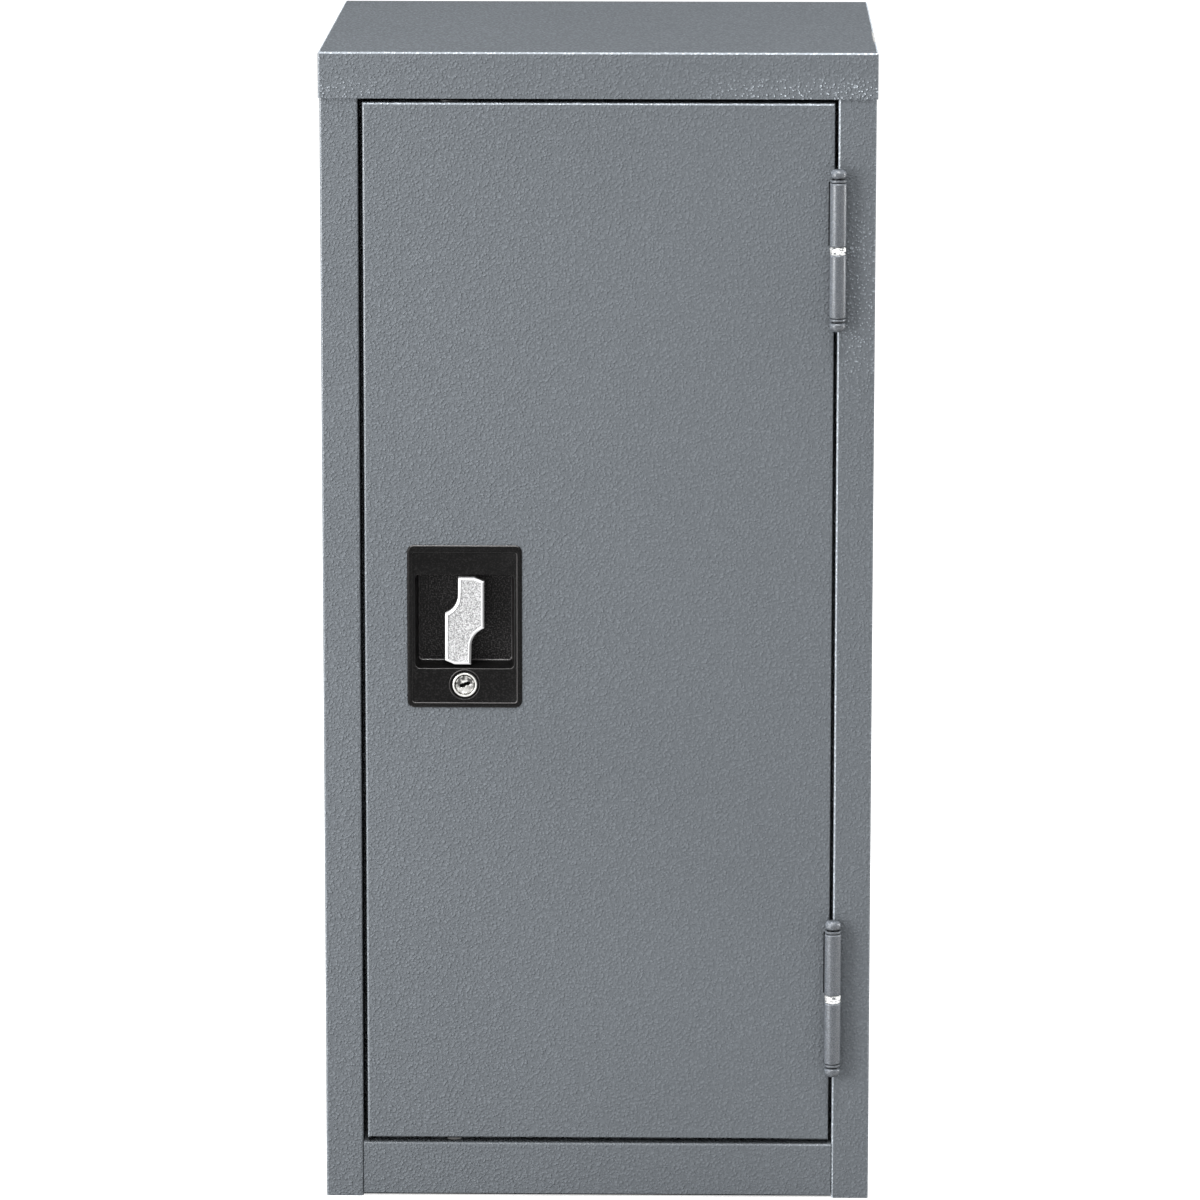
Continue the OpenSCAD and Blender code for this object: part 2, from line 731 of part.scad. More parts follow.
// Lever: a stepped plate with a raised face, its boss and the journal that turns in the cup
module lever() {
    face = 0.93;
    edge_y = lever_front + 1.2;
    color(bright) difference() {
        union() {
            at_depth(lever_front, edge_y) translate([lever_x, lever_z])
                scale([face, face]) lever_outline();
            at_depth(edge_y, lever_front + lever_t)
                translate([lever_x, lever_z]) lever_outline();
            round_at(lever_x, lever_z, boss_d, lever_front + lever_t, pocket_d - seam);
            round_at(lever_x, lever_z, journal_d, pocket_d - seam, floor_y + seam);
        }
        at_depth(lever_front + lever_t, floor_y + cut)
            square_at(lever_x, lever_z, spindle_s + slide_gap);
    }
}
module square_at(x, z, s) {
    translate([x, z]) square(s, center = true);
}
module lever_spindle() {
    color(zinc) difference() {
        at_depth(lever_front + lever_t, latch_back) square_at(lever_x, lever_z, spindle_s);
        round_at(lever_x, lever_z, tap_d, latch_back - 8, latch_back + cut);
    }
}
// Latch plate: hub, two crank pins a half turn apart, and the tooth that the cam blocks
module latch_plate() {
    hub_r = 9.4;
    ear_r = 3.6;
    color(zinc) difference() {
        union() {
            at_depth(latch_y, latch_back) translate([lever_x, lever_z]) {
                circle(hub_r);
                for (a = [45, 225]) {
                    rotate(a) translate([0, -ear_r]) square([crank_r, 2 * ear_r]);
                    rotate(a) translate([crank_r, 0]) circle(ear_r);
                }
                polygon([[0, -tooth_top], [tooth_out, -tooth_top],
                    [tooth_out - tooth_slant, -tooth_low], [tooth_in, -tooth_low]]);
            }
            for (a = [45, 225])
                round_at(lever_x + crank_r * cos(a), lever_z + crank_r * sin(a),
                    crank_pin_d, latch_y, pin_back);
        }
        at_depth(latch_y - cut, latch_back + cut)
            square_at(lever_x, lever_z, spindle_s + slide_gap);
    }
}
// Screw and washer that hold the latch plate on the spindle
module latch_screw() {
    washer_d = 8.6;
    washer_t = 0.8;
    color(zinc) {
        round_at(lever_x, lever_z, screw_d, latch_back - 7, latch_back);
        round_at(lever_x, lever_z, washer_d, latch_back, latch_back + washer_t);
        round_at(lever_x, lever_z, 2 * tap_d, latch_back + washer_t, flat_back);
    }
}

// Lock body: front ring and bored body, threaded for the nut
module lock_barrel() {
    groove = 0.5;
    ring_h = 0.4;
    color(bright) difference() {
        union() {
            round_at(lever_x, lock_z, ring_d, -rim_h - ring_h, 0);
            round_at(lever_x, lock_z, barrel_lock_d - 2 * run_gap, 0, pocket_d);
        }
        round_at(lever_x, lock_z, plug_d + 2 * run_gap, -rim_h - cut, pocket_d + cut);
        round_at(lever_x, lock_z, plug_d + 2 * groove, -rim_h - cut, 0);
    }
}
module lock_nut() {
    color(zinc) at_depth(lock_boss_y, lock_boss_y + nut_t) translate([lever_x, lock_z])
        difference() {
            circle(d = barrel_lock_d + nut_over, $fn = 6);
            circle(d = barrel_lock_d);
        }
}
// Key plug: its face with the keyway, and the square tail that carries the cam
module lock_plug() {
    plug_h = 0.2;
    color(bright) difference() {
        union() {
            round_at(lever_x, lock_z, plug_d, -rim_h - plug_h, latch_y - tail_gap);
            at_depth(latch_y - tail_gap, latch_back) square_at(lever_x, lock_z, tail_s);
        }
        at_depth(-rim_h - cut, keyway_depth) translate([lever_x, lock_z]) rotate(keyway_a)
            square([keyway_l, keyway_w], center = true);
        round_at(lever_x, lock_z, tap_d, latch_back - 5, latch_back + cut);
    }
}
// Lock cam: hub on the tail and the finger that swings up beside the latch plate's tooth
module lock_cam() {
    hub_r = 6.6;
    color(zinc) at_depth(latch_y, latch_back) translate([lever_x, lock_z]) difference() {
        union() {
            circle(hub_r);
            translate([0, -finger_w / 2]) square([finger_reach, finger_w]);
        }
        square(tail_s + slide_gap, center = true);
    }
}
module lock_cam_screw() {
    head_d = 7;
    head_t = 2;
    color(zinc) {
        round_at(lever_x, lock_z, screw_d, latch_back - 4.5, latch_back);
        round_at(lever_x, lock_z, head_d, latch_back, latch_back + head_t);
    }
}

// Slotted flat end of a rod, on the side of the lever given by its sign
module yoke(side) {
    h = slot_h + flat_wall;
    difference() {
        at_depth(flat_y, flat_back) translate([lever_x, lever_z])
            mirror([side < 0 ? 1 : 0, 0]) translate([strip_in, side * crank_c - h])
                square([flat_out - strip_in, 2 * h]);
        at_depth(flat_y - cut, flat_back + cut) translate([lever_x, lever_z])
            mirror([side < 0 ? 1 : 0, 0]) translate([slot_in, side * crank_c - slot_h])
                square([slot_out - slot_in, 2 * slot_h]);
    }
}
// Round part of a rod, going up: a slanted step forward, then straight to a coned tip
module round_rod(z_flat, z_tip) {
    y0 = face_y + flat_mid;
    y1 = face_y + rod_y;
    z_bend = z_flat + joggle_l;
    step_d = rod_d - 0.3;
    lap = 0.5;
    tip = 3;
    translate([rod_x, y0, z_flat - rod_d]) cylinder(d = rod_d, h = rod_d);
    hull() {
        translate([rod_x, y0, z_flat - lap]) cylinder(d = step_d, h = lap, $fn = 32);
        translate([rod_x, y1, z_bend]) cylinder(d = step_d, h = lap, $fn = 32);
    }
    translate([rod_x, y1, z_bend]) cylinder(d = rod_d, h = z_tip - tip - z_bend);
    translate([rod_x, y1, z_tip - tip]) cylinder(d1 = rod_d, d2 = rod_d - 2, h = tip);
}
module upper_rod() {
    z_flat = lever_z + upper_bend;
    color(zinc) {
        yoke(-1);
        at_depth(flat_y, flat_back) translate([lever_x - strip_out, lever_z - crank_c + slot_h])
            square([strip_out - strip_in, upper_bend + crank_c - slot_h]);
        round_rod(z_flat, door_z1 + rod_proud);
    }
}
module lower_rod() {
    z_flat = lever_z - lower_bend;
    arm_in = slot_in + seam * 2;
    color(zinc) {
        yoke(1);
        at_depth(flat_y, flat_back) translate([lever_x, lever_z]) {
            translate([arm_in, -cross_low])
                square([flat_out - arm_in, cross_low + crank_c - slot_h]);
            translate([-strip_out, -cross_low])
                square([strip_out + flat_out, cross_low - cross_top]);
            translate([-strip_out, -lower_bend]) square([strip_out - strip_in, lower_bend - cross_low]);
        }
        mirror([0, 0, 1]) round_rod(-z_flat, rod_proud - door_z0);
    }
}
// Bush in the edge of the door, its flange outside
module rod_bush(z, up) {
    color(black) translate([rod_x, face_y + rod_y, z]) mirror([0, 0, up ? 0 : 1]) difference() {
        union() {
            cylinder(d = bush_d, h = bush_t);
            translate([0, 0, -bush_l]) cylinder(d = bush_body_d, h = bush_l);
        }
        translate([0, 0, -bush_l - cut])
            cylinder(d = rod_d + 2 * slide_gap, h = bush_l + bush_t + 2 * cut);
    }
}
module upper_rod_bush() { rod_bush(door_z1, true); }
module lower_rod_bush() { rod_bush(door_z0, false); }
// Guide on the inside of the door, bored for a rod
module rod_guide(z) {
    color(black) difference() {
        block(rod_x - guide_w / 2, rod_x + guide_w / 2,
            face_y + sheet_t, face_y + rod_y + rod_d / 2 + guide_over,
            z - guide_h / 2, z + guide_h / 2);
        translate([rod_x, face_y + rod_y, z - guide_h / 2 - cut])
            cylinder(d = rod_d + 2 * slide_gap, h = guide_h + 2 * cut);
    }
}
module upper_rod_guide() { rod_guide(lever_z + guide_z); }
module lower_rod_guide() { rod_guide(lever_z - guide_z); }

left_side_panel();
right_side_panel();
back_panel();
top_cap();
bottom_pan();
strip_front_left();
strip_rear_left();
strip_front_right();
strip_rear_right();
lower_shelf_clips();
upper_shelf_clips();
lower_shelf();
upper_shelf();
door_stops();
door_pan();
door_stiffener();
upper_hinge_frame_leaf();
upper_hinge_door_leaf();
upper_hinge_pin();
upper_hinge_washer();
upper_hinge_tip();
lower_hinge_frame_leaf();
lower_hinge_door_leaf();
lower_hinge_pin();
lower_hinge_washer();
lower_hinge_tip();
handle_cup();
cup_clamp();
cup_screws();
lever();
lever_spindle();
latch_plate();
latch_screw();
lock_barrel();
lock_nut();
lock_plug();
lock_cam();
lock_cam_screw();
upper_rod();
lower_rod();
upper_rod_bush();
lower_rod_bush();
upper_rod_guide();
lower_rod_guide();
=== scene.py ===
# Wall-mounted steel storage cabinet, dressed for rendering.
# +X is the viewer's right, -Y is the front, +Z is up. Lengths in the sections are in
# millimetres, and each mesh is put into the scene in metres.
from math import pi, radians

import bmesh
import bpy
import numpy as np
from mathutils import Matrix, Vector
from mathutils.geometry import tessellate_polygon


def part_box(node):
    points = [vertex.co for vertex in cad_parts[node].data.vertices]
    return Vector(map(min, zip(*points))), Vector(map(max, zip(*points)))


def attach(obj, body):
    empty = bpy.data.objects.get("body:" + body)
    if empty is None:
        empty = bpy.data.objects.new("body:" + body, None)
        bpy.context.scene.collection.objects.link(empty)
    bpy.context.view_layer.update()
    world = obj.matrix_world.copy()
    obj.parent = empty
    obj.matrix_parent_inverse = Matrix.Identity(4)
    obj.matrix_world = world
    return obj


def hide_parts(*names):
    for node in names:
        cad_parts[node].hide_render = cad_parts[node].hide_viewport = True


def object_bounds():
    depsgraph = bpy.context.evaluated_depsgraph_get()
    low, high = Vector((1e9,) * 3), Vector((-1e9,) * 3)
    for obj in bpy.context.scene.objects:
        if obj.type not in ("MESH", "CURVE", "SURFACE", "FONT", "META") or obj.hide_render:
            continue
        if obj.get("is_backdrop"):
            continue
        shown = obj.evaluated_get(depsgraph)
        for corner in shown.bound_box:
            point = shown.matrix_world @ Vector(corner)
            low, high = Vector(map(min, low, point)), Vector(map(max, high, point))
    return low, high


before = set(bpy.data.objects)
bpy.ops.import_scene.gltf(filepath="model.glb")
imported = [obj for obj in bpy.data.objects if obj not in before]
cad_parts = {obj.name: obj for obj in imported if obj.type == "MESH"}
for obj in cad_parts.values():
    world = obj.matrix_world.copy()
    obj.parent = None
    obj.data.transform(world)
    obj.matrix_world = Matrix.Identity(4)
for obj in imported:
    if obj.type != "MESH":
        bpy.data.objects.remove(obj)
cad_box = [list(corner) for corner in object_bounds()]
scene = bpy.context.scene
scene.view_settings.view_transform = "Standard"

# Camera: a long lens a little over four metres from the door, above the top of the cabinet
# and tilted down, so that the top shows as a narrow band.
camera = bpy.data.objects.new("camera", bpy.data.cameras.new("camera"))
camera.data.sensor_width = 36.0
camera.data.lens = 202.0
camera.location = (0.071, -4.5, 0.811)
camera.rotation_euler = (radians(79.301), radians(-0.04), radians(0.96))
scene.collection.objects.link(camera)
scene.camera = camera


# Floor, white surroundings and lamps: a pale floor and plain soft boxes. The camera, glass
# and metal see white around the cabinet, and the floor keeps the cabinet's shadow; beneath
# the cabinet, where the hole for the lower rod looks down on it, the floor's glow is cut
# back, a painted shadow.
class Wire:
    """A socket of a shader tree; sums, differences and products of wires add Math nodes."""

    def __init__(self, tree, socket=None):
        self.tree = tree
        self.socket = socket

    def node(self, kind, settings=(), values=(), out=0):
        """Adds a node: its settings first, then each socket's value or link; gives one output."""
        made = self.tree.nodes.new(kind)
        for name, value in dict(settings).items():
            setattr(made, name, value)
        for name, value in dict(values).items():
            if isinstance(value, Wire):
                self.tree.links.new(value.socket, made.inputs[name])
            else:
                made.inputs[name].default_value = value
        return Wire(self.tree, made.outputs[out])

    def sum_of(self, operation, first, second):
        """A Math node with that operation on two wires or numbers."""
        return self.node("ShaderNodeMath", {"operation": operation}, {0: first, 1: second})

    def __add__(self, other):
        return self.sum_of("ADD", self, other)

    __radd__ = __add__

    def __sub__(self, other):
        return self.sum_of("SUBTRACT", self, other)

    def __rsub__(self, other):
        return self.sum_of("SUBTRACT", other, self)

    def __mul__(self, other):
        return self.sum_of("MULTIPLY", self, other)

    __rmul__ = __mul__

    def __pow__(self, other):
        return self.sum_of("POWER", self, other)

    def between(self, low, high):
        """0 at low and 1 at high, eased at both ends."""
        return self.node("ShaderNodeMapRange", {"interpolation_type": "SMOOTHSTEP"},
                         {"Value": self, "From Min": low, "From Max": high})

    def size(self):
        """The value without its sign."""
        return self.sum_of("ABSOLUTE", self, 0)

    def largest(self, *others):
        """The largest of this value and others."""
        best = self
        for other in others:
            best = self.sum_of("MAXIMUM", best, other)
        return best

    def parts(self):
        """The x, y and z of a vector."""
        return [self.node("ShaderNodeSeparateXYZ", (), {0: self}, out=i) for i in range(3)]


def finish_named(name):
    """An empty node material, and the wire that its shader tree starts from."""
    material = bpy.data.materials.new(name)
    material.use_nodes = True
    material.node_tree.nodes.clear()
    return material, Wire(material.node_tree)


def surfaced(start, surface, kind="ShaderNodeOutputMaterial"):
    """Links a shader to the tree's output."""
    start.tree.links.new(surface.socket, start.tree.nodes.new(kind).inputs["Surface"])


floor_white, start = finish_named("floor_white")
seen = start.node("ShaderNodeLightPath", out=0)
x, y = start.node("ShaderNodeTexCoord", out="Object").parts()[:2]
# The floor's glow for the camera is cut back beneath the cabinet's footprint: a painted shadow.
painted_shadow_under = (1 - x.size().between(0.16, 0.174)) * (1 - (y + 0.16).size().between(0.14, 0.16))
surfaced(start, start.node("ShaderNodeAddShader", (), {
    0: start.node("ShaderNodeBsdfDiffuse", (), {"Color": (0.84, 0.84, 0.84, 1)}),
    1: start.node("ShaderNodeEmission", (), {"Strength": seen * (1 - painted_shadow_under * 0.85) * 0.7})}))
floor_mesh = bpy.data.meshes.new("floor")
reach, ground = 30.0, cad_box[0][2]
floor_mesh.from_pydata([(-reach, -reach, ground), (reach, -reach, ground),
                        (reach, reach, ground), (-reach, reach, ground)], [], [(0, 1, 2, 3)])
floor = bpy.data.objects.new("floor", floor_mesh)
floor.data.materials.append(floor_white)
scene.collection.objects.link(floor)
floor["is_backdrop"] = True

world = bpy.data.worlds.new("white_room")
world.use_nodes = True
world.node_tree.nodes.clear()
start = Wire(world.node_tree)
rays = [start.node("ShaderNodeLightPath", out=i) for i in (0, 3, 6)]
clear = rays[0].largest(rays[1], rays[2])
surfaced(start, start.node("ShaderNodeBackground", (), {
    "Color": (1, 1, 1, 1), "Strength": clear * 0.48 + 0.52}), "ShaderNodeOutputWorld")
scene.world = world

for name, place, size, watts in (
        ("soft_box_left", (-2.2, -2.0, 0.7), (1.1, 2.1), 68.0),
        ("soft_box_above", (0.1, -1.5, 3.1), (1.4, 0.7), 68.0),
        ("soft_box_right", (2.9, 0.5, 0.7), (0.9, 1.9), 60.0),
        ("soft_box_behind", (0.8, 3.4, 1.8), (2.2, 2.2), 14.0)):
    lamp = bpy.data.objects.new(name, bpy.data.lights.new(name, "AREA"))
    lamp.data.shape = "RECTANGLE"
    lamp.data.size, lamp.data.size_y = size
    lamp.data.energy = watts
    lamp.location = place
    lamp.rotation_euler = (Vector((0, -0.16, 0)) - Vector(place)).to_track_quat("-Z", "Y").to_euler()
    scene.collection.objects.link(lamp)


# Painted sheet steel: panels, lid, pans, door, stiffener, strips and shelves, folded from
# 0.9 mm sheet and spot welded, then coated in grey powder that cures to a fine pebbled skin.
def span(node):
    """Lowest and highest corner of a CAD node at rest, in mm."""
    low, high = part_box(node)
    return np.array(low) * 1000, np.array(high) * 1000


low, high = span("upper_hinge_pin")
hinge_x, hinge_y = (low[:2] + high[:2]) / 2


def scaled(start, colour, factor):
    """A colour scaled by a factor; each may be a wire."""
    return start.node("ShaderNodeVectorMath", {"operation": "SCALE"}, {0: colour, "Scale": factor})


def blended(start, share, first, second):
    """The first colour where the share is 0, the second where it is 1."""
    return start.node("ShaderNodeMix", {"data_type": "RGBA"}, {0: share, 6: first, 7: second}, out=2)


def noise(start, at, scale, detail, **more):
    """Cloudy noise of that scale and detail, from 0 to 1."""
    return start.node("ShaderNodeTexNoise", (), {"Vector": at, "Scale": scale, "Detail": detail, **more})


def bumped(start, height, depth):
    """Normal of a surface whose relief follows the height, to a depth in metres."""
    return start.node("ShaderNodeBump", (), {"Strength": 1.0, "Distance": depth, "Height": height})


def powder_coat(name, colour, pebble=1.75, relief=0.8, gloss=0.4, coat=0.0, wear=1.0,
                coat_ior=1.5, coat_rough=0.12, bore=0.0):
    """Pebbled powder coat: round pebbles of that width and relief in mm, heavier on the left
    and by the lid's lower edge and the upper hinge than elsewhere, over a slow mottle. Its
    colour is painted lighter on the left and darker on the right, a painted light from the
    left, with a painted highlight on top faces and painted sparkle on pebble tops by the lid's
    lower edge and the upper hinge. Folds are glossy, with a painted highlight where they face
    up or to the left, strongest on the right, and a painted shade where they face down; the
    lid's right edge has one scuff. Nearer to the hinges' axis than the bore, in mm, it is
    painted near black, a painted shade in the tips' grooves. Places in the shader are in
    metres, as its coordinates are."""
    material, start = finish_named(name)
    at = start.node("ShaderNodeTexCoord", out="Object")
    x, y, z = at.parts()
    tilt = start.node("ShaderNodeTexCoord", out="Normal").parts()
    lean = [part.size() for part in tilt]
    warp = start.node("ShaderNodeTexNoise", (), {"Vector": at, "Scale": 260.0}, out=1)
    strayed = start.node("ShaderNodeVectorMath", {"operation": "ADD"}, {
        0: at, 1: scaled(start, warp, 0.0016)})
    cells = start.node("ShaderNodeTexVoronoi", {"feature": "SMOOTH_F1"}, {
        "Vector": strayed, "Scale": 900 / pebble, "Smoothness": 0.5})
    pebbles = 1 - cells.between(0.05, 0.62)
    fine = noise(start, at, 1900 / pebble, 1.0).between(0.3, 0.7)
    mottle = noise(start, at, 7.0, 4.0)
    # Zones by the lid's lower edge and the upper hinge, in front only, where pebble tops are painted
    # paler: painted sparkle.
    lid_edge = (1 - z.between(0.342, 0.356)) * z.between(0.338, 0.341)
    lid_ends = x.between(0.05, 0.13) * 1.5 + (1 - x.between(-0.15, -0.13)) * 0.7
    by_hinge = x.between(0.150, 0.158) * z.between(0.14, 0.20) * (1 - z.between(0.24, 0.30))
    behind_face = y.between(-0.322, -0.318)
    painted_glints = (lid_edge * lid_ends + by_hinge * 0.5) * (1 - behind_face)
    # Heavier relief and grain on the left; the same mask also paints the colour lighter on the left and
    # darker on the right, a painted light from the left.
    heavy_grain_and_painted_light = 1.15 - x.between(-0.17, 0.08) * 0.55 + painted_glints * 0.6
    # Faces turned up are painted paler, with coarser grain: a painted highlight on the top.
    top = tilt[2].between(0.8, 1.0)
    sloping = lean[0].between(0.05, 0.3) * tilt[2].between(0.05, 0.3)
    above_rail = z.between(-0.31, -0.27)
    fold = (1 - lean[0].largest(lean[1], lean[2]).between(0.90, 0.995)) * wear
    glaze = fold * (above_rail * 0.5 + 0.1) * (1 - sloping)
    # Folds facing up or to the left are painted paler, most towards the right, and folds facing down
    # darker: painted highlight and painted shade.
    painted_fold_highlight = x.between(0.10, 0.14) * 1.4 + 1.0
    drawn = (tilt[2].between(0.1, 0.5) * (above_rail * 3.2 - 0.45)
             - tilt[0].between(-0.1, 0.1) * (painted_fold_highlight - 0.3) + painted_fold_highlight
             - (0 - tilt[2]).between(0.1, 0.5) * 1.8) * fold
    shade = (pebbles - 0.4) * heavy_grain_and_painted_light * 0.38 + (fine - 0.5) * 0.12 + (mottle - 0.5) * 0.12 \
        + drawn * (pebbles * 0.8 + 0.5) + painted_glints * pebbles.between(0.66, 0.92) * 1.9 \
        + (heavy_grain_and_painted_light - 0.9) * 0.30 + ((pebbles - 0.4) * 0.25 + 0.14) * top + 0.97
    # Close to the hinges' axis, in the tips' grooves, the colour is painted near black: painted shade.
    off_axis = ((x - hinge_x / 1000) ** 2 + (y - hinge_y / 1000) ** 2) ** 0.5
    painted_groove_shade = (1 - off_axis.between((bore - 0.5) / 1000, bore / 1000)) * (1 - lean[2].between(0.3, 0.6))
    scuff = x.between(0.1725, 0.1735) * z.between(0.364, 0.3655) * y.between(-0.262, -0.25) \
        * (1 - y.between(-0.20, -0.186)) * fine.between(0.1, 0.4)
    surfaced(start, start.node("ShaderNodeBsdfPrincipled", (), {
        "Base Color": blended(start, scuff, scaled(start, colour, shade * (1 - painted_groove_shade * 0.9)),
                              (0.62, 0.61, 0.58, 1)),
        "Roughness": mottle * 0.14 + (gloss - 0.07),
        "Specular IOR Level": 0.0,
        "Coat Weight": glaze + (fine * 0.8 + 0.2) * (1 - painted_groove_shade) * coat,
        "Coat Roughness": coat_rough,
        "Coat IOR": coat_ior,
        "Normal": bumped(start, (pebbles + fine * 0.3) * heavy_grain_and_painted_light, relief / 1000)}))
    return material


def dress(material, *nodes):
    """Gives CAD nodes a finish; their meshes stay as they are."""
    for node in nodes:
        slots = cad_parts[node].data.materials
        slots.clear()
        slots.append(material)


grey_powder = powder_coat("grey_powder", (0.167, 0.182, 0.198))
dress(grey_powder, "left_side_panel", "right_side_panel", "back_panel", "top_cap", "bottom_pan",
      "door_pan", "door_stiffener", "lower_shelf", "upper_shelf",
      "strip_front_left", "strip_rear_left", "strip_front_right", "strip_rear_right")


# Hinges: two weld-on pairs of 40 mm knuckles, each turned about a 5.2 mm pin with a button
# tip at both ends, with flat leaves welded behind the door's edge and the stile. They are
# powder coated with the cabinet; only the washer between the knuckles was bared by turning.
def piece(name, body, material, parts, crease=35.0):
    """One mesh of several parts, each points in mm and faces: merged, faces outwards, smooth
    but for edges sharper than the crease angle; then it rides on its body."""
    mesh = bpy.data.meshes.new(name)
    points = np.concatenate([np.asarray(part[0], float) for part in parts]) / 1000
    faces, first = [], 0
    for part in parts:
        faces += [tuple(int(i) + first for i in face) for face in part[1]]
        first += len(part[0])
    mesh.from_pydata(points.tolist(), [], faces)
    soft = bmesh.new()
    soft.from_mesh(mesh)
    bmesh.ops.remove_doubles(soft, verts=soft.verts, dist=2e-6)
    bmesh.ops.dissolve_degenerate(soft, edges=soft.edges, dist=1e-7)
    bmesh.ops.recalc_face_normals(soft, faces=soft.faces)
    soft.to_mesh(mesh)
    soft.free()
    mesh.shade_smooth()
    mesh.set_sharp_from_angle(angle=radians(crease))
    made = bpy.data.objects.new(name, mesh)
    mesh.materials.append(material)
    scene.collection.objects.link(made)
    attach(made, body)
    return made


def skin(rows):
    """Grid of points, rows by columns, closed around each row: every four neighbours make
    one face."""
    rows = np.asarray(rows, float)
    n, m = rows.shape[:2]
    i, j = np.meshgrid(np.arange(n - 1), np.arange(m), indexing="ij")
    corners = [((i + a) * m + (j + b) % m).ravel() for a, b in ((0, 0), (0, 1), (1, 1), (1, 0))]
    return rows.reshape(-1, 3), np.stack(corners, 1)


def turned(profile, centre, axis="z", steps=64):
    """Surface of revolution: each (radius, height) of the profile carried round the axis
    through the centre; heights count along z, or along y from the front to the back."""
    turn = np.linspace(0, 2 * pi, steps, endpoint=False)
    profile = np.asarray(profile, float)
    r, h = profile[:, :1], profile[:, 1:]
    across = r * np.cos(turn), r * np.sin(turn), h + 0 * turn
    order = (0, 1, 2) if axis == "z" else (0, 2, 1)
    return skin(np.stack([across[k] for k in order], -1) + np.asarray(centre, float))


def corner(centre, radius, start, end, steps=6):
    """Points of an arc in a profile, from one angle in degrees to another."""
    a = np.radians(np.linspace(start, end, steps + 1))
    return [(centre[0] + radius * np.cos(t), centre[1] + radius * np.sin(t)) for t in a]


def rounded(x0, x1, y0, y1, radius, steps=6):
    """Rounded rectangle: four quarter circles about its corners' centres, joined by its sides."""
    ring = []
    for k, (cx, cy) in enumerate(((x1 - radius, y1 - radius), (x0 + radius, y1 - radius),
                                  (x0 + radius, y0 + radius), (x1 - radius, y0 + radius))):
        ring += corner((cx, cy), radius, 90 * k, 90 * k + 90, steps)
    return np.array(ring)


def slab(low, high, edge):
    """Block between two corners: a rounded rectangle in x and y carried from the lower end
    to the upper, and closed at both."""
    ring = rounded(low[0], high[0], low[1], high[1], edge, 4)
    rows = [np.column_stack([ring, np.full(len(ring), z)]) for z in (low[2], high[2])]
    return [skin(rows)] + [(row, [tuple(range(len(row)))]) for row in rows]


barrel_r, pin_r, washer_h, knuckle_h, tip_h, leaf_t = 5.3, 2.65, 5.0, 40.0, 8.6, 2.0
hinge_powder = powder_coat("hinge_powder", (0.106, 0.116, 0.130), pebble=1.2, relief=0.06,
                           gloss=0.36, coat=0.95, wear=0.3, coat_ior=1.8, coat_rough=0.36,
                           bore=barrel_r - 0.9)


def knuckle(foot):
    """Profile of a knuckle from its foot up: a bored barrel with rounded ends."""
    e, top = 1.1, foot + knuckle_h
    return [(pin_r, foot)] + corner((barrel_r - e, foot + e), e, -90, 0) \
        + corner((barrel_r - e, top - e), e, 0, 90) + [(pin_r, top), (pin_r, foot)]


def tip(z, way):
    """Profile of a hinge tip from height z, up (1) or down (-1): neck, collar, groove, button."""
    r, neck = barrel_r - 0.15, barrel_r - 1.6
    rise = [(neck, 0.0), (neck, 0.4)] + corner((r - 0.5, 0.8), 0.4, -90, 0, 4) \
        + corner((r - 0.5, 1.5), 0.4, 0, 90, 4) + [(neck, 1.9), (neck, 2.8)] \
        + corner((r - 1.7, 4.5), 1.7, -90, 0, 6) \
        + corner((r - 3.5, tip_h - 3.5), 3.5, 0, 90, 8) + [(0.0, tip_h)]
    return [(a, z + way * b) for a, b in rise]


door_side, axis = span("door_pan")[1][0], (hinge_x, hinge_y, 0.0)
for side in ("upper", "lower"):
    washer_z = span(side + "_hinge_washer")[0][2]
    leaf_y = span(side + "_hinge_door_leaf")[1][1]
    for leaf, body, foot, x in (("frame_leaf", "cabinet", washer_z - knuckle_h, hinge_x + 0.9),
                                ("door_leaf", "door", washer_z + washer_h, door_side - 0.9 - leaf_t)):
        made = piece(side + "_knuckle_" + leaf, body, hinge_powder,
                     [turned(knuckle(foot), axis)]
                     + slab((x, hinge_y + pin_r + 0.6, foot + 0.2),
                            (x + leaf_t, leaf_y, foot + knuckle_h - 0.2), 0.35))
        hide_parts(side + "_hinge_" + leaf)
    foot, top = washer_z - knuckle_h, washer_z + washer_h + knuckle_h + 0.1
    made = piece(side + "_pin_and_tip", "cabinet", hinge_powder,
                 [turned([(0.0, foot), (pin_r - 0.06, foot), (pin_r - 0.06, top)] + tip(top, 1), axis)])
    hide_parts(side + "_hinge_pin")
    made = piece(side + "_foot_tip", "cabinet", hinge_powder,
                 [turned([(0.0, foot)] + tip(foot, -1), axis)])
    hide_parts(side + "_hinge_tip")


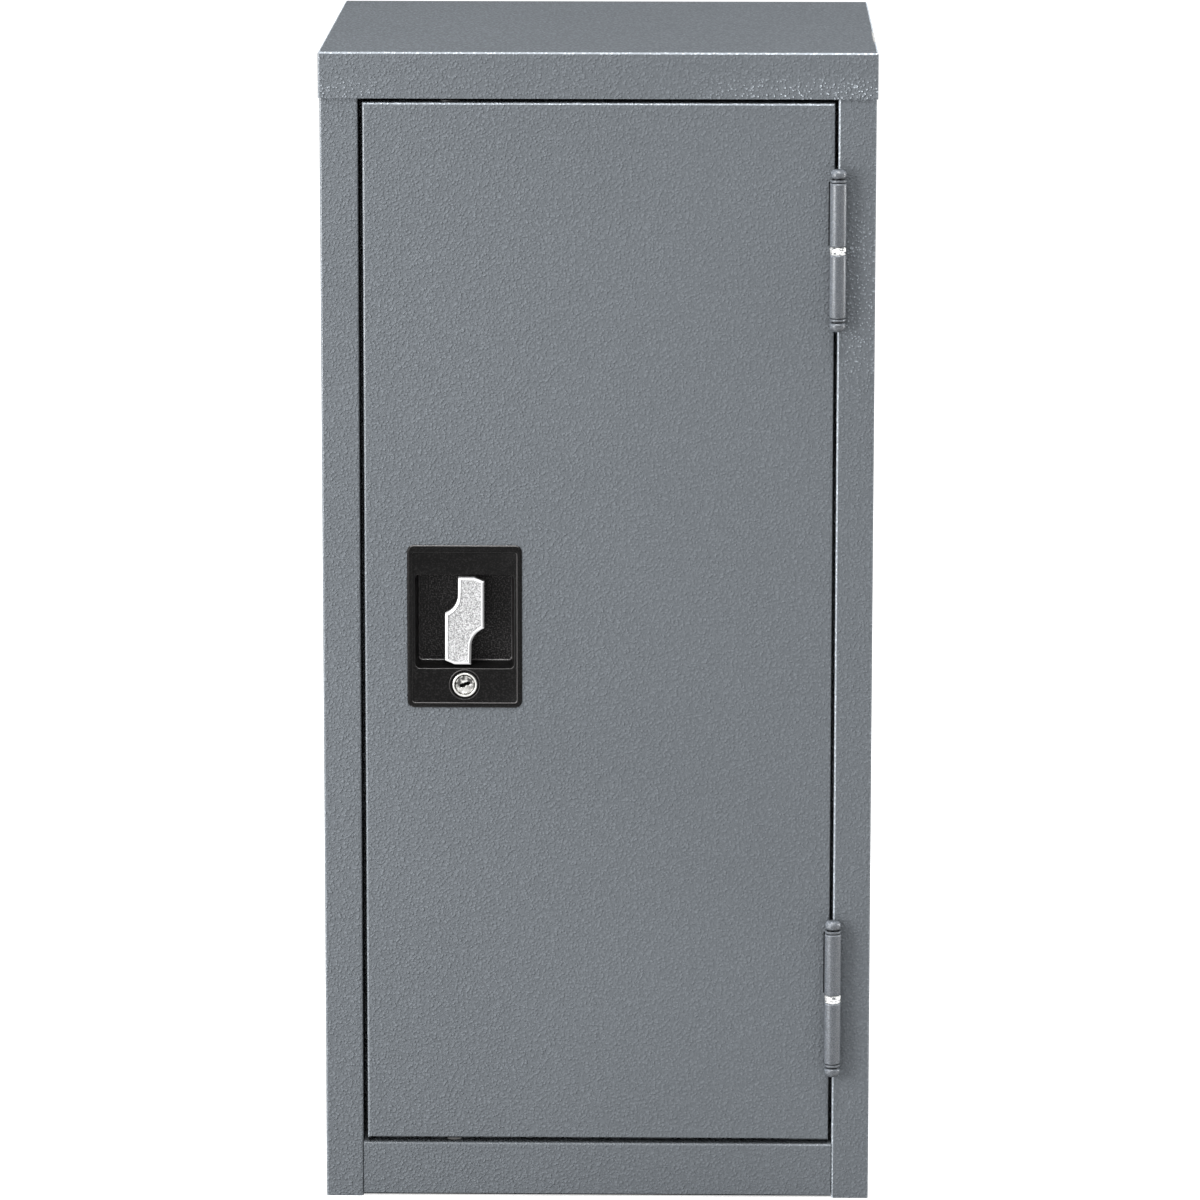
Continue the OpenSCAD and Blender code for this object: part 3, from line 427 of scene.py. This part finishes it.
# Hinge washers: turned steel spacers that took the powder with the hinge and lost most of
# it when the door was first swung, so bare bright metal shows between ragged rims of grey.
bare_steel, start = finish_named("bare_steel")
at = start.node("ShaderNodeTexCoord", out="Object")
squashed = start.node("ShaderNodeMapping", (), {"Vector": at, "Scale": (1.0, 1.0, 1.9)})
flakes = noise(start, squashed, 430.0, 4.0, Distortion=0.8)
dents = noise(start, at, 1500.0, 1.0)
left_over = flakes.between(0.53, 0.58)
surfaced(start, start.node("ShaderNodeBsdfPrincipled", (), {
    "Base Color": blended(start, left_over, (0.93, 0.93, 0.92, 1), (0.12, 0.128, 0.138, 1)),
    "Metallic": (1 - left_over) * 0.5,
    "Roughness": dents * 0.2 + 0.3,
    "Normal": bumped(start, flakes + dents * 0.4, 0.00025)}))
for side in ("upper", "lower"):
    low, high = span(side + "_hinge_washer")
    middle = np.array([*(low[:2] + high[:2]) / 2, 0.0])
    turn = np.linspace(0, 2 * pi, 96, endpoint=False)
    ragged = np.sin(turn * 5 + low[2]) * 0.12 + np.sin(turn * 11 + 2 * low[2]) * 0.1 \
        + np.sin(turn * 23) * 0.06
    rows = []
    for r, z, wave in ((pin_r, low[2], 0), (4.6, low[2], 0), (4.95, low[2] + 0.3, 1),
                       (5.0, low[2] + 1.1, 0.5), (4.6, low[2] + 1.45, 0.6), (4.62, low[2] + 1.65, 0.6),
                       (5.05, low[2] + 2.0, 0.5), (5.05, high[2] - 0.7, 0.5), (4.7, high[2] - 0.25, 1),
                       (4.4, high[2], 0), (pin_r, high[2], 0), (pin_r, low[2], 0)):
        radius = r + 0.5 * wave * ragged
        rows.append(np.stack([radius * np.cos(turn), radius * np.sin(turn),
                              z + wave * ragged], -1) + middle)
    made = piece(side + "_washer", "cabinet", bare_steel, [skin(rows)], crease=50)
    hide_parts(side + "_hinge_washer")


# Handle cup: one moulding in black textured plastic, pushed through the door from the front
# and drawn tight by a clamp behind. A rounded bead runs round it, then a groove, then the
# raised panel with the drafted pocket for the lever and the collar for the lock.
face_y = span("door_pan")[0][1]
low, high = span("handle_cup")
cup_x, cup_z = (low[0] + high[0]) / 2, (low[2] + high[2]) / 2
cup_w, cup_h = high[0] - low[0], high[2] - low[2]
low, high = span("lever_spindle")
lever_x, lever_z = (low[0] + high[0]) / 2, (low[2] + high[2]) / 2
low, high = span("lock_plug")
lock_x, lock_z = (low[0] + high[0]) / 2, (low[2] + high[2]) / 2
pocket_w, pocket_h, pocket_d, panel = 62.5, 60.5, 16.0, -0.4
flange, wall_half_w, wall_half_h, back_d = 0.9, 33.2, 32.5, 18.0


def sheet_between(*loops):
    """Flat face inside the first loop and outside the others, in triangles."""
    points = np.concatenate([np.asarray(loop, float) for loop in loops])
    return points, tessellate_polygon([[Vector(p) for p in loop] for loop in loops])


def at_depth(ring, depth):
    """Flat outline of x and z stood at a depth behind the door's face."""
    return np.column_stack([ring[:, 0], np.full(len(ring), face_y + depth), ring[:, 1]])


def cup_frame(inset, top, foot, depth):
    """Frame of the cup's outline, drawn in by one distance at the sides, more at top and foot."""
    return at_depth(rounded(cup_x - cup_w / 2 + inset, cup_x + cup_w / 2 - inset,
                            cup_z - cup_h / 2 + inset + foot, cup_z + cup_h / 2 - inset - top,
                            max(4.4 - inset * 0.8, 0.6)), depth)


def pocket_frame(draft, depth):
    """Frame of the pocket, drawn in most at the bottom, where a moulding needs most draft."""
    return at_depth(rounded(lever_x - pocket_w / 2 + draft * 0.75, lever_x + pocket_w / 2 - draft * 0.75,
                            lever_z - pocket_h / 2 + draft * 1.15, lever_z + pocket_h / 2 - draft * 0.5,
                            max(3.0 - draft * 0.2, 0.5)), depth)


def lock_circle(radius, depth, steps=64):
    """Circle about the lock at a depth behind the door's face."""
    turn = np.linspace(0, 2 * pi, steps, endpoint=False)
    return at_depth(np.column_stack([lock_x + radius * np.cos(turn), lock_z + radius * np.sin(turn)]),
                    depth)


bead = [(0.0, 0, 0, 0.3)] + [(a * 1.7, 0, 0, d) for a, d in corner((1.2, 0.0), 1.2, 180, 270, 7)] \
    + [(2.8, 1.5, 0, -1.2), (2.95, 1.5, 0, -1.15), (3.3, 1.5, 0, panel - 0.05), (3.4, 1.5, 0, panel)]
lip = [(a, d) for a, d in corner((-0.45, panel + 0.45), 0.45, 270, 360, 5)]
lip += [(2.0 * t, panel + 0.45 + t * (pocket_d - 1.0 - panel - 0.45)) for t in (0.25, 0.5, 0.75, 1.0)]
lip += [(2.0 + 1.2 * (1 - np.cos(t)), pocket_d - 1 + np.sin(t)) for t in np.linspace(0.3, pi / 2, 5)]
collar = [(9.9, panel), (9.8, panel - 0.25), (9.65, panel - 0.4), (9.4, panel - 0.4),
          (9.3, panel - 0.3), (9.2, panel + 0.9), (8.1, panel + 1.0), (8.0, panel + 1.1), (8.0, 8.0),
          (9.7, 8.0), (9.7, flange)]
shoulder = at_depth(rounded(cup_x - wall_half_w, cup_x + wall_half_w, cup_z - cup_h / 2 + 2.5,
                            cup_z + cup_h / 2 - 2.5, 1.5), 0.0)
outer_pocket = at_depth(rounded(lever_x - wall_half_w, lever_x + wall_half_w,
                                lever_z - wall_half_h, lever_z + wall_half_h, 5.0), flange)
outer_floor = outer_pocket + (0, back_d - flange, 0)
bore = turned([(6.3, face_y + pocket_d), (6.3, face_y + back_d)], (lever_x, 0, lever_z), "y")
bore_ends = bore[0].reshape(2, -1, 3)
moulding = [skin([cup_frame(*row) for row in bead]),
            sheet_between(cup_frame(*bead[-1]), pocket_frame(*lip[0]), lock_circle(*collar[0])),
            skin([pocket_frame(*row) for row in lip]),
            sheet_between(pocket_frame(*lip[-1]), bore_ends[0]), bore,
            skin([lock_circle(*row) for row in collar]),
            sheet_between(cup_frame(*bead[0]), shoulder), skin([shoulder, shoulder + (0, flange, 0)]),
            sheet_between(shoulder + (0, flange, 0), outer_pocket, lock_circle(*collar[-1])),
            skin([outer_pocket, outer_floor]), sheet_between(outer_floor, bore_ends[1])]


def moulded(name, colour, rough, grain=1.0, relief=0.06, specular=0.12, fill_and_grain_from=1000.0,
            reach=1000.0):
    """Moulded plastic or rubber: a fine eroded texture of that grain and relief in mm, handled
    smoother in slow patches, and painted paler along edges that face up or to the left, a
    painted highlight, within the reach to either side of the lever; coarser, and painted paler
    as a painted fill of the shade there, behind the given depth in y."""
    material, start = finish_named(name)
    at = start.node("ShaderNodeTexCoord", out="Object")
    x, y, z = at.parts()
    tilt = start.node("ShaderNodeTexCoord", out="Normal").parts()
    lean = [part.size() for part in tilt]
    # Behind that depth, on the pocket's floor, the grain is coarser and the colour painted paler: a
    # painted fill lifting the shade there.
    painted_fill_and_grain = y.between((fill_and_grain_from - 1) / 1000, fill_and_grain_from / 1000)
    erode = noise(start, at, 1000 / grain, 1.0).between(0.36, 0.72)
    rub = noise(start, at, 28.0, 3.0)
    edge = 1 - lean[0].largest(lean[1], lean[2]).between(0.80, 0.96)
    aside = (x - lever_x / 1000).size()
    beside = aside.between(reach / 1000, (reach + 0.3) / 1000)
    off_lock = ((x - lock_x / 1000) ** 2 + (z - lock_z / 1000) ** 2) ** 0.5
    rim = aside.between((reach - 2) / 1000, (reach - 1) / 1000) \
        .largest(1 - off_lock.between(0.0102, 0.0106))
    # Edges facing up or to the left, within the reach of the lever, are painted paler: a painted
    # highlight.
    painted_edge_highlight = edge * lean[1].between(0.25, 0.5) * (1 - beside * 0.95) * (
        tilt[2].between(0.0, 0.5) * 0.7 + (0 - tilt[0]).between(0.0, 0.5) * (rim * 0.6 + 0.2) + 0.15)
    paleness = erode * erode * (painted_fill_and_grain * 9 + 1.8) + (rub * 0.5 + 0.15) * (painted_fill_and_grain + 1) + painted_edge_highlight * 20
    surfaced(start, start.node("ShaderNodeBsdfPrincipled", (), {
        "Base Color": scaled(start, colour, paleness),
        "Roughness": rub * 0.16 + (rough - 0.08),
        "Specular IOR Level": specular,
        "Coat Weight": painted_edge_highlight * 0.8,
        "Coat Roughness": 0.22,
        "Normal": bumped(start, erode, relief / 1000)}))
    return material


black_plastic = moulded("black_plastic", (0.0060, 0.0057, 0.0057), rough=0.36,
                        fill_and_grain_from=face_y + pocket_d - 1, reach=cup_w / 2 - 2.4)
made = piece("cup_moulding", "door", black_plastic, moulding, crease=40)
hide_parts("handle_cup")


# Lever: a stepped plate die cast in zinc, with a bright bevel all round and a grainy face
# sunk a little below it; its boss and journal turn in the cup's floor.
def drawn_in(outline, distance):
    """Outline moved inwards by a distance: each corner goes along the bisector of its two
    sides' normals, far enough that both sides move by the distance."""
    step = np.roll(outline, -1, 0) - outline
    step /= np.linalg.norm(step, axis=1, keepdims=True)
    normal = np.column_stack([-step[:, 1], step[:, 0]])
    before = np.roll(normal, 1, 0)
    bisector = (normal + before) / (1 + (normal * before).sum(1, keepdims=True))
    return outline + distance * bisector


half = np.array([(-4.0, 28.0), (6.4, 28.0), (12.4, 25.4)] + corner((17.0, -16.5), 12.8, 111.1, 180, 12))
outline = np.concatenate([half, -half])[::-1]
rows = [at_depth(drawn_in(outline, a) + (lever_x, lever_z), d) for a, d in (
    (0.35, 6.5), (0.0, 6.15), (0.0, 1.9), (0.08, 1.5), (0.2, 1.3), (1.3, 0.6), (1.45, 0.55),
    (1.6, 0.6), (1.95, 1.2), (2.1, 1.22))]
casting = [skin(rows), sheet_between(rows[0]), sheet_between(rows[-1]),
           turned([(0.0, face_y + 6.2), (7.4, face_y + 6.2), (8.0, face_y + 7.2), (8.0, face_y + 15.2),
                   (7.6, face_y + 15.7), (6.2, face_y + 15.7), (6.2, face_y + 18.3), (0.0, face_y + 18.3)],
                  (lever_x, 0, lever_z), "y")]
cast_zinc, start = finish_named("cast_zinc")
at = start.node("ShaderNodeTexCoord", out="Object")
tilt = start.node("ShaderNodeTexCoord", out="Normal").parts()
grit = noise(start, at, 1350.0, 2.0).between(0.3, 0.7)
cloud = noise(start, at, 90.0, 3.0)
facing = tilt[1].size()
sunk = facing.between(0.985, 0.999)
front = 1 - at.parts()[1].between((face_y + 1.25) / 1000, (face_y + 1.35) / 1000)
# Step walls behind the bevel and bevels facing right are painted darker: painted shade on the sides turned
# from the light.
crease = front * (1 - facing.between(0.42, 0.55)) * tilt[0].between(-0.7, 0.1)
painted_bevel_shade = (1 - crease * 0.9) * (1 - tilt[0].between(0.25, 0.5) * (1 - crease) * 0.75)
paleness = (grit - 0.5) * sunk * 0.6 + (cloud - 0.5) * 0.08 + 1.02 - sunk * 0.48
surfaced(start, start.node("ShaderNodeBsdfPrincipled", (), {
    "Base Color": scaled(start, (0.86, 0.86, 0.87), paleness * painted_bevel_shade),
    "Metallic": 0.12,
    "Roughness": sunk * 0.2 + grit * 0.08 + 0.2,
    "Normal": bumped(start, grit * sunk, 0.0002)}))
made = piece("lever_casting", "lever", cast_zinc, casting, crease=20)
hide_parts("lever")


# Key lock: a nickelled cam lock. Its front ring is rolled and bright; the plug inside it has
# a slightly dished, brushed face with a slanting warded keyway.
nickel, start = finish_named("nickel_plate")
at = start.node("ShaderNodeTexCoord", out="Object")
x, y, z = at.parts()
off_axis = ((x - lock_x / 1000) ** 2 + (z - lock_z / 1000) ** 2) ** 0.5
off_plug = off_axis.between(0.0062, 0.0064)
# Behind the face, the keyway and the gap round the plug are painted near black: painted shade in the
# recesses.
inside = y.between((face_y + 0.15) / 1000, (face_y + 0.5) / 1000) \
    * (1 - y.between((face_y + 8) / 1000, (face_y + 9) / 1000))
painted_recess_shade = inside * (1 - off_plug)
brush = noise(start, at, 900.0, 3.0)
# Darker patches on the plug's face, most in its upper half.
dark_patches = noise(start, at, 380.0, 3.0).between(0.35, 0.6) * (1 - off_axis.between(0.0062, 0.0070))
dark_patches_above = dark_patches * (z.between((lock_z - 3.5) / 1000, lock_z / 1000) * 0.55 + 0.35)
surfaced(start, start.node("ShaderNodeBsdfPrincipled", (), {
    "Base Color": scaled(start, (0.82, 0.81, 0.78), (1 - dark_patches_above) * (1 - painted_recess_shade * 0.97)),
    "Metallic": 0.8,
    "Roughness": brush * 0.18 + 0.16,
    "Normal": bumped(start, brush, 0.00006)}))
rim = [(6.2, 4.0), (6.2, -0.3), (6.45, -0.8)] + corner((6.95, -0.75), 0.45, 180, 270, 4) \
    + corner((7.15, -0.6), 0.6, 270, 360, 5) + [(7.8, -0.1), (7.5, 0.3), (6.95, 0.4), (6.95, 16.0),
                                               (6.2, 16.0), (6.2, 4.0)]
made = piece("lock_ring", "door", nickel, [skin([lock_circle(r, d, 96) for r, d in rim])],
             crease=40)
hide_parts("lock_barrel")


def plug_row(share, radius, depth):
    """Ring on the plug's face: from a circle of the radius, share 0, to the keyway's outline,
    share 1: a long rounded slot whose two ends are stepped apart by the wards."""
    turn = np.linspace(0, 2 * pi, 144, endpoint=False)
    c, s = np.cos(turn), np.sin(turn)
    slot = 1 / ((np.abs(c) / 3.5) ** 4 + (np.abs(s) / 1.25) ** 4) ** 0.25
    x, z = slot * c, slot * s
    z = z + 0.4 * np.tanh(2.4 * x) - 0.35 * np.exp(-((x - 0.9) / 0.6) ** 2) * np.sign(s) \
        + 0.25 * np.exp(-((x + 1.2) / 0.5) ** 2)
    x, z = x * share + radius * c * (1 - share), z * share + radius * s * (1 - share)
    c, s = np.cos(radians(10)), np.sin(radians(10))
    return at_depth(np.column_stack([lock_x + x * c - z * s, lock_z + x * s + z * c]), depth)


rows = [plug_row(*row) for row in (
    (0, 5.9, 18.4), (0, 5.9, 0.3), (0, 5.9, -0.35), (0, 5.6, -0.6), (0, 5.1, -0.5), (0, 4.8, -0.2),
    (0.35, 5.4, -0.15), (0.8, 5.0, 0.1), (0.97, 5.0, 0.3), (1, 5.0, 0.6), (1, 5.0, 7.5))]
tail = span("lock_plug")[1][1]
made = piece("key_plug_face", "key_plug", nickel,
             [skin(rows), sheet_between(rows[-1]), sheet_between(rows[0])]
             + slab((lock_x - 3, face_y + 18.3, lock_z - 3), (lock_x + 3, tail, lock_z + 3), 0.3),
             crease=30)
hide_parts("lock_plug")


# Latch and its fixings behind the door: clamp, spindle, latch plate, rods, nut and cam, all
# mild steel with bright zinc plating; the pan-head screws have cross recesses.
zinc_plate, start = finish_named("zinc_plate")
at = start.node("ShaderNodeTexCoord", out="Object")
spangle = start.node("ShaderNodeTexVoronoi", {"feature": "F1"}, {"Vector": at, "Scale": 420.0}, out=1)
haze = noise(start, at, 55.0, 4.0)
drawn_out = start.node("ShaderNodeMapping", (), {"Vector": at, "Scale": (1.0, 1.0, 0.06)})
draw = noise(start, drawn_out, 1600.0, 1.0)
grey_of = spangle.parts()[0]
surfaced(start, start.node("ShaderNodeBsdfPrincipled", (), {
    "Base Color": blended(start, haze.between(0.35, 0.7), (0.44, 0.45, 0.47, 1), (0.36, 0.355, 0.33, 1)),
    "Metallic": 0.9,
    "Roughness": haze * 0.2 + grey_of * 0.08 + 0.2,
    "Normal": bumped(start, draw + grey_of * 0.5, 0.00004)}))
dress(zinc_plate, "cup_clamp", "lever_spindle", "latch_plate", "lock_nut", "lock_cam", "upper_rod",
      "lower_rod", "lower_shelf_clips", "upper_shelf_clips")


def pan_head(x, z, seat, radius, height):
    """Screw head standing off its seat towards the back: the rim rounds over into a low
    crown, and two crossed slots with sloping ends sink into it."""
    share = np.concatenate([[1.0, 1.0, 0.98, 0.94, 0.88], np.linspace(0.8, 0.0, 17)])[:, None]
    rise = np.concatenate([[0.0, 0.45, 0.7, 0.85, 0.93], 0.95 + 0.05 * np.linspace(0, 1, 17)])[:, None]
    turn = np.linspace(0, 2 * pi, 96, endpoint=False)
    a, b = radius * share * np.cos(turn), radius * share * np.sin(turn)
    narrow, far = np.minimum(abs(a), abs(b)), np.maximum(abs(a), abs(b))
    sink = np.clip((0.22 * radius - narrow) / 0.15, 0, 1) * np.clip((0.62 * radius - far) / 0.4, 0, 1)
    grid = np.stack([x + a, seat + height * (rise - 0.7 * sink), z + b], -1)
    return [skin(grid), sheet_between(grid[0])]


def shank(x, z, y0, y1, radius):
    """Plain round shank from one depth to another, closed at its far end."""
    return turned([(0.0, y0), (radius * 0.8, y0), (radius, y0 + 0.4), (radius, y1)], (x, 0, z), "y")


low, high = span("cup_screws")
heads = [(x, z) for x in (low[0] + 3, high[0] - 3) for z in (low[2] + 3, high[2] - 3)]
parts = []
for x, z in heads:
    parts += [shank(x, z, low[1], high[1] - 1.8, 1.5)] + pan_head(x, z, high[1] - 1.8, 3.0, 1.8)
made = piece("cup_screw_set", "door", zinc_plate, parts, crease=30)
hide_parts("cup_screws")
low, high = span("latch_screw")
spring_washer = turned([(1.6, high[1] - 2.2), (4.3, high[1] - 2.2), (4.3, high[1] - 1.5),
                        (1.6, high[1] - 1.5), (1.6, high[1] - 2.2)], (lever_x, 0, lever_z), "y")
made = piece("latch_screw_and_washer", "lever", zinc_plate,
             [shank(lever_x, lever_z, low[1], high[1] - 1.5, 1.4), spring_washer]
             + pan_head(lever_x, lever_z, high[1] - 1.5, 3.0, 1.5), crease=30)
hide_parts("latch_screw")
low, high = span("lock_cam_screw")
made = piece("cam_screw", "key_plug", zinc_plate,
             [shank(lock_x, lock_z, low[1], high[1] - 2.0, 1.4)]
             + pan_head(lock_x, lock_z, high[1] - 2.0, 3.5, 2.0), crease=30)
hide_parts("lock_cam_screw")


# Rod bushes and guides: turned and moulded black nylon, pressed into the door's edges and
# riveted inside it.
black_nylon = moulded("black_nylon", (0.022, 0.022, 0.023), rough=0.42, grain=0.5, relief=0.02,
                      specular=0.4)
dress(black_nylon, "upper_rod_bush", "lower_rod_bush", "upper_rod_guide", "lower_rod_guide")


# Door stops: two soft rubber bumpers with domed fronts, pushed into the lip that the lock
# side of the door closes against.
black_rubber = moulded("black_rubber", (0.016, 0.0155, 0.015), rough=0.62, grain=0.7,
                       relief=0.04, specular=0.3)
low, high = span("door_stops")
radius, back = (high[0] - low[0]) / 2, high[1]
bumpers = []
for z in (low[2] + radius, high[2] - radius):
    dome = [(0.0, back), (radius - 0.3, back), (radius, back - 0.3)] \
        + [(radius * np.cos(t), back - 0.9 - (high[1] - low[1] - 0.9) * np.sin(t))
           for t in np.linspace(0, pi / 2, 9)]
    bumpers.append(turned(dome, (low[0] + radius, 0, z), "y"))
made = piece("door_bumpers", "cabinet", black_rubber, bumpers, crease=50)
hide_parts("door_stops")

(low, high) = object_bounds()
